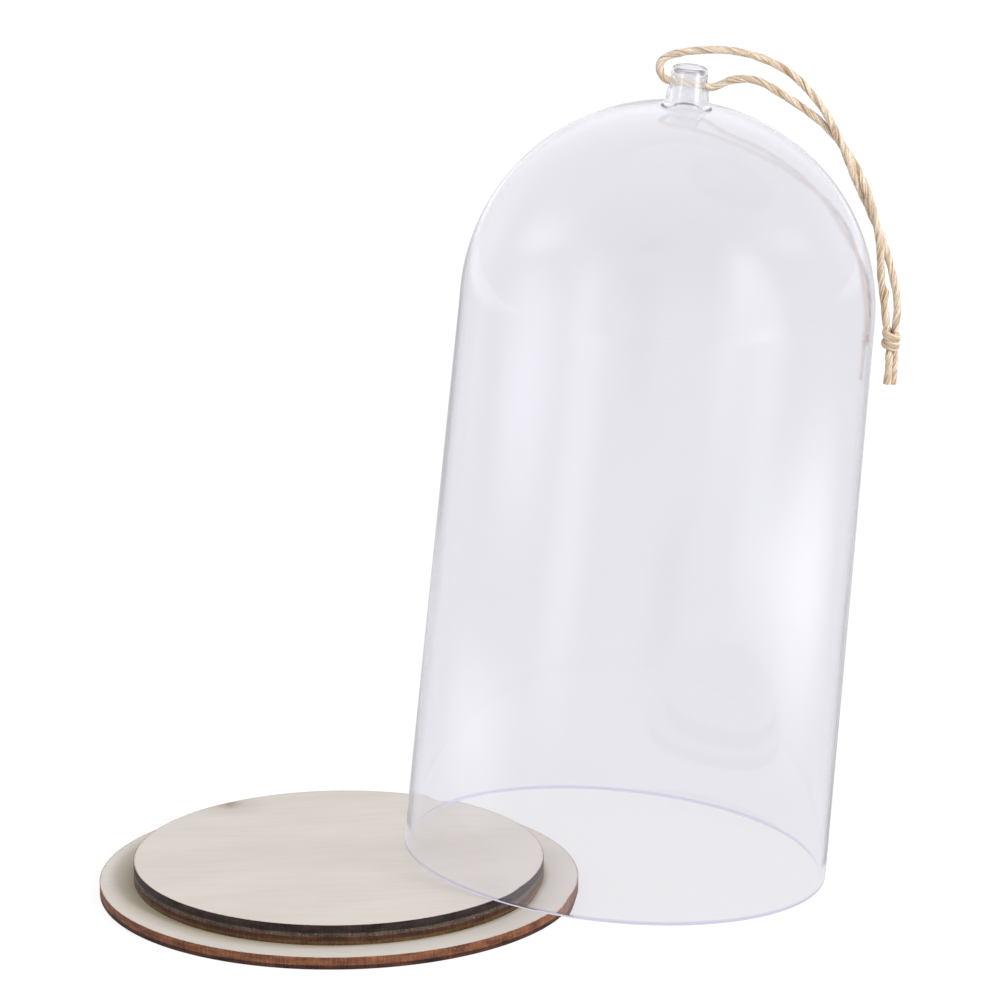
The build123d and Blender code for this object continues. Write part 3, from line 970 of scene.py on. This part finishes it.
def glowing_panel(name, bearing, distance, width, tall, strength):
    """An upright soft light that stands on the floor and fades out towards its sides and top."""
    material, tree = new_material(name)
    parts = node(tree, "ShaderNodeSeparateXYZ", {"Vector": node(tree, "ShaderNodeTexCoord").outputs["UV"]}).outputs
    rest = arithmetic(tree, "SUBTRACT", 1.0, parts["X"])
    middle = arithmetic(tree, "MULTIPLY", arithmetic(tree, "MULTIPLY", parts["X"], rest), 4.0)
    fade = node(tree, "ShaderNodeMapRange", {"Value": parts["Y"], "From Min": 1.0, "From Max": 0.35},
                interpolation_type="SMOOTHSTEP").outputs["Result"]
    share = arithmetic(tree, "MULTIPLY", arithmetic(tree, "POWER", middle, 1.5), fade)
    glow = node(tree, "ShaderNodeEmission", {"Color": (1.0, 1.0, 1.0, 1.0), "Strength": strength})
    clear = node(tree, "ShaderNodeBsdfTransparent")
    mixed = node(tree, "ShaderNodeMixShader", {"Fac": share})
    tree.links.new(clear.outputs[0], mixed.inputs[1])
    tree.links.new(glow.outputs[0], mixed.inputs[2])
    finish_tree(tree, mixed)
    angle = math.radians(bearing)
    middle_place = Vector((distance * math.sin(angle), -distance * math.cos(angle), 0.0))
    side = Vector((math.cos(angle), math.sin(angle), 0.0)) * width / 2
    top = Vector((0.0, 0.0, tall))
    low = Vector((0.0, 0.0, 0.001))
    corners = (middle_place - side + low, middle_place + side + low, middle_place + side + top,
               middle_place - side + top)
    panel = mesh_object(name, corners, [(0, 1, 2, 3)], [material])
    layer = panel.data.uv_layers.new(name="UVMap")
    for loop, place in zip(layer.data, ((0.0, 0.0), (1.0, 0.0), (1.0, 1.0), (0.0, 1.0))):
        loop.uv = place
    panel.visible_camera = False
    panel.visible_transmission = False
    panel.visible_shadow = False


# Where the dome's axis meets the floor.
DOME_FOOT = (0.072, 0.0, 0.0)


def light_pools(tree):
    """How much more or less the floor glows in front of the two panels, between them, and far away.

    It shows in the dome, and not where the camera sees the bare floor.
    """
    place = node(tree, "ShaderNodeTexCoord").outputs["Object"]
    away = node(tree, "ShaderNodeVectorMath", {0: place, 1: DOME_FOOT}, operation="SUBTRACT").outputs["Vector"]
    reach = node(tree, "ShaderNodeVectorMath", {"Vector": away}, operation="LENGTH").outputs["Value"]
    parts = node(tree, "ShaderNodeSeparateXYZ", {"Vector": away}).outputs
    bearing = arithmetic(tree, "ARCTAN2", parts["X"], arithmetic(tree, "MULTIPLY", parts["Y"], -1.0))

    def lobe(middle, half_width, near, far):
        off = arithmetic(tree, "SUBTRACT", bearing, math.radians(middle))
        side = node(tree, "ShaderNodeMapRange", {
            "Value": arithmetic(tree, "ABSOLUTE", off, 0.0), "From Min": math.radians(half_width), "From Max": 0.0},
            interpolation_type="SMOOTHSTEP").outputs["Result"]
        depth = node(tree, "ShaderNodeMapRange", {"Value": reach, "From Min": near, "From Max": far},
                     interpolation_type="SMOOTHSTEP").outputs["Result"]
        return arithmetic(tree, "MULTIPLY", side, depth)

    near_dome = node(tree, "ShaderNodeMapRange", {"Value": reach, "From Min": 0.44, "From Max": 0.26},
                     interpolation_type="SMOOTHSTEP").outputs["Result"]
    left = arithmetic(tree, "ADD", arithmetic(tree, "MULTIPLY", lobe(-51.0, 17.0, 0.16, 0.55), 0.5),
                      arithmetic(tree, "MULTIPLY", lobe(-92.0, 34.0, 0.12, 0.28), arithmetic(tree, "MULTIPLY", near_dome, 0.7)))
    right = arithmetic(tree, "ADD", arithmetic(tree, "MULTIPLY", lobe(47.0, 19.0, 0.16, 0.55), 0.5),
                       arithmetic(tree, "MULTIPLY", lobe(80.0, 34.0, 0.10, 0.26), arithmetic(tree, "MULTIPLY", near_dome, 1.1)))
    between = arithmetic(tree, "MULTIPLY", arithmetic(tree, "MULTIPLY", lobe(3.0, 24.0, 0.24, 0.33),
                                                      lobe(3.0, 24.0, 0.48, 0.40)), -0.35)
    far = node(tree, "ShaderNodeMapRange", {"Value": reach, "From Min": 0.8, "From Max": 1.6, "To Max": 0.3},
               interpolation_type="SMOOTHSTEP").outputs["Result"]
    behind = node(tree, "ShaderNodeMapRange", {"Value": parts["Y"], "From Min": 0.2, "From Max": 1.0}).outputs["Result"]
    far = arithmetic(tree, "MULTIPLY", far, behind)
    return arithmetic(tree, "ADD", arithmetic(tree, "ADD", left, right), arithmetic(tree, "ADD", between, far))


def make_stage(stage):
    """A white floor that lights itself a little, an even room, and soft lights."""
    material, tree = new_material("white_floor")
    seen = node(tree, "ShaderNodeLightPath").outputs["Is Camera Ray"]
    pools = arithmetic(tree, "MULTIPLY", light_pools(tree), arithmetic(tree, "SUBTRACT", 1.0, seen))
    plain = arithmetic(tree, "ADD", stage.floor_glow, arithmetic(tree, "MULTIPLY", seen, stage.floor_white))
    strength = arithmetic(tree, "ADD", plain, pools)
    glow = node(tree, "ShaderNodeEmission", {"Color": (1.0, 1.0, 1.0, 1.0), "Strength": strength})
    paper = node(tree, "ShaderNodeBsdfDiffuse", {"Color": (0.18, 0.18, 0.18, 1.0)})
    finish_tree(tree, node(tree, "ShaderNodeAddShader", {0: glow.outputs[0], 1: paper.outputs[0]}))
    reach, turns = 6.0, 96
    ring = [(reach * math.cos(2 * math.pi * t / turns), reach * math.sin(2 * math.pi * t / turns), 0.0) for t in range(turns)]
    floor = mesh_object("floor", ring, [tuple(range(turns))], [material])

    world = bpy.data.worlds.new("room")
    world.use_nodes = True
    room = world.node_tree
    direction = node(room, "ShaderNodeTexCoord").outputs["Generated"]
    behind = node(room, "ShaderNodeVectorMath", {0: direction, 1: BACKDROP}, operation="DOT_PRODUCT").outputs["Value"]
    share = node(room, "ShaderNodeMapRange", {"Value": behind, "From Min": -1.0}).outputs["Result"]
    tone = ramp(room, share, [(0.0, (0.55, 0.55, 0.55)), (0.40, (0.62, 0.62, 0.62)), (0.74, (1.0, 1.0, 1.0)),
                              (1.0, (1.15, 1.15, 1.15))])
    rise = node(room, "ShaderNodeSeparateXYZ", {"Vector": direction}).outputs["Z"]
    near_level = node(room, "ShaderNodeMapRange", {
        "Value": arithmetic(room, "ABSOLUTE", rise, 0.0), "From Min": 0.75, "From Max": 0.0},
        interpolation_type="SMOOTHSTEP").outputs["Result"]
    tone = blend_colours(room, near_level, tone, (0.93, 0.93, 0.93), "LIGHTEN")
    background = room.nodes["Background"]
    room.links.new(tone, background.inputs["Color"])
    background.inputs["Strength"].default_value = stage.room
    bpy.context.scene.world = world
    bpy.context.scene.view_settings.view_transform = "Standard"

    key = softbox("key_right", 47.0, 1.3, 1.05, 0.40, 0.40, 12.5, 0.09)
    key.visible_glossy = False
    key.visible_transmission = False
    glowing_panel("left_panel", -51.0, 1.1, 0.60, 1.3, 1.5)
    glowing_panel("right_panel", 47.0, 1.1, 0.70, 1.3, 2.0)


# --- Operators ------------------------------------------------------------------------------------

class BELLJAR_OT_camera(bpy.types.Operator):
    """Place the camera and aim it at the bell jar"""

    bl_idname = "belljar.camera"
    bl_label = "Place camera"

    def execute(self, context):
        make_camera(context.scene.bell_jar_stage)
        return {"FINISHED"}


class BELLJAR_OT_twine(bpy.types.Operator):
    """Lay the jute twine through the boss, with its knot and tails"""

    bl_idname = "belljar.twine"
    bl_label = "Lay twine loop"

    def execute(self, context):
        make_twine(context.scene.bell_jar_sizes, context.scene.bell_jar_finishes)
        return {"FINISHED"}


class BELLJAR_OT_dome(bpy.types.Operator):
    """Mould the clear dome with its boss and cross-hole"""

    bl_idname = "belljar.dome"
    bl_label = "Mould dome"

    def execute(self, context):
        make_dome(context.scene.bell_jar_sizes, context.scene.bell_jar_finishes)
        return {"FINISHED"}


class BELLJAR_OT_base(bpy.types.Operator):
    """Cut the veneers of the two plywood discs"""

    bl_idname = "belljar.base"
    bl_label = "Cut plywood base"

    def execute(self, context):
        make_base(context.scene.bell_jar_finishes)
        return {"FINISHED"}


class BELLJAR_OT_stage(bpy.types.Operator):
    """Lay the white floor and set the lights"""

    bl_idname = "belljar.stage"
    bl_label = "Set stage"

    def execute(self, context):
        make_stage(context.scene.bell_jar_stage)
        return {"FINISHED"}


OPERATORS = (BELLJAR_OT_camera, BELLJAR_OT_twine, BELLJAR_OT_dome, BELLJAR_OT_base, BELLJAR_OT_stage)


class BELLJAR_PT_panel(bpy.types.Panel):
    """Sidebar panel that lists the bell jar's operators and values"""

    bl_idname = "BELLJAR_PT_panel"
    bl_label = "Bell Jar"
    bl_space_type = "VIEW_3D"
    bl_region_type = "UI"
    bl_category = "Bell Jar"

    def draw(self, context):
        for operator in OPERATORS:
            self.layout.operator(operator.bl_idname)
        for group in (context.scene.bell_jar_sizes, context.scene.bell_jar_finishes, context.scene.bell_jar_stage):
            box = self.layout.box()
            for name in group.__annotations__:
                box.prop(group, name)


GROUPS = {"bell_jar_sizes": BellJarSizes, "bell_jar_finishes": BellJarFinishes, "bell_jar_stage": BellJarStage}


def register():
    for group in GROUPS.values():
        bpy.utils.register_class(group)
    for name, group in GROUPS.items():
        setattr(bpy.types.Scene, name, PointerProperty(type=group))
    for operator in OPERATORS:
        bpy.utils.register_class(operator)
    bpy.utils.register_class(BELLJAR_PT_panel)


def unregister():
    bpy.utils.unregister_class(BELLJAR_PT_panel)
    for operator in reversed(OPERATORS):
        bpy.utils.unregister_class(operator)
    for name in GROUPS:
        delattr(bpy.types.Scene, name)
    for group in reversed(GROUPS.values()):
        bpy.utils.unregister_class(group)


def main():
    """Build everything in order."""
    register()
    bpy.ops.belljar.camera()
    bpy.ops.belljar.twine()
    bpy.ops.belljar.dome()
    bpy.ops.belljar.base()
    bpy.ops.belljar.stage()


if __name__ == "__main__":
    main()
